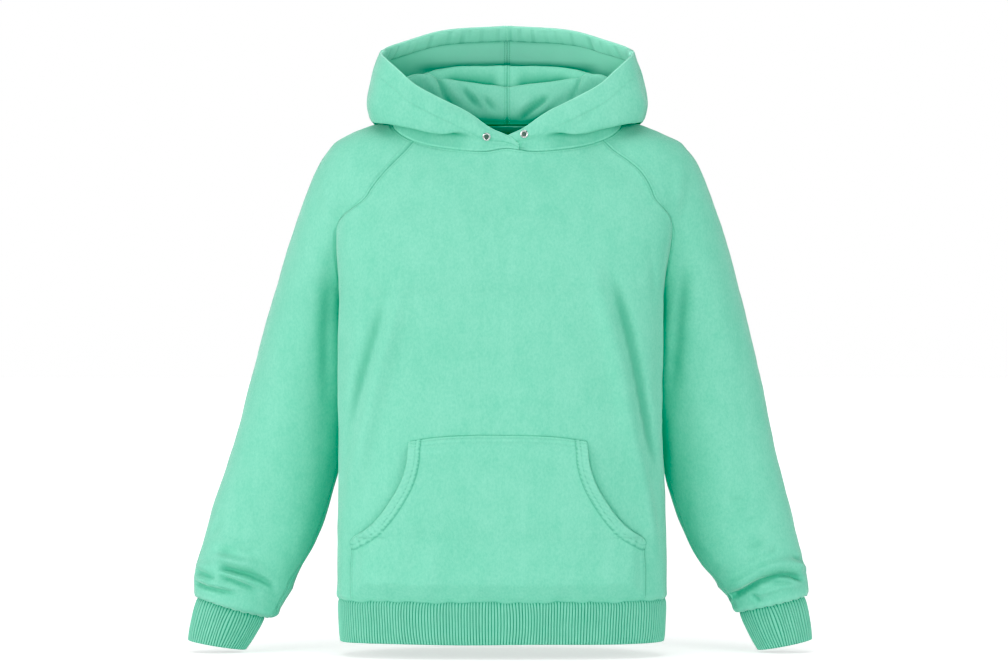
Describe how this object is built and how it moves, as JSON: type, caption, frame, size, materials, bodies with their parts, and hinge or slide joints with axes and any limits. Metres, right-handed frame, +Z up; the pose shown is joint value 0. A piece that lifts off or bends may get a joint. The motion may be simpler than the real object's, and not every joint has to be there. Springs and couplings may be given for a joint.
{
  "type": "pullover hoodie",
  "caption": "Pullover hoodie in sweatshirt fleece with raglan sleeves, a double-lapped hood with eyelets, a kangaroo pocket and ribbed hem and cuffs, filled out with no wearer.",
  "frame": {"origin": "middle of the neck hole, at the height where the shoulder meets the neck", "axes": "+Z up along the wearer's neck, -Y out of the chest, +X towards the wearer's left hand"},
  "size_m": [0.7964, 0.2923, 0.808],
  "materials": {
    "fleece": "matte, soft, faintly fuzzy",
    "rib_knit": "matte ribbed knit",
    "nickel": "bright nickel plate",
    "cotton_tape": "matte twill"
  },
  "bodies": {
    "root": {"front_body": "fleece", "back_body": "fleece", "sleeve_left": "fleece", "sleeve_right": "fleece", "cuff_left": "rib_knit", "cuff_right": "rib_knit", "hem_rib": "rib_knit", "hood_left": "fleece", "hood_right": "fleece", "hood_hem_left": "fleece", "hood_hem_right": "fleece", "eyelet_left": "nickel", "eyelet_right": "nickel", "pocket": "fleece", "neck_tape": "cotton_tape"}
  },
  "joints": []
}
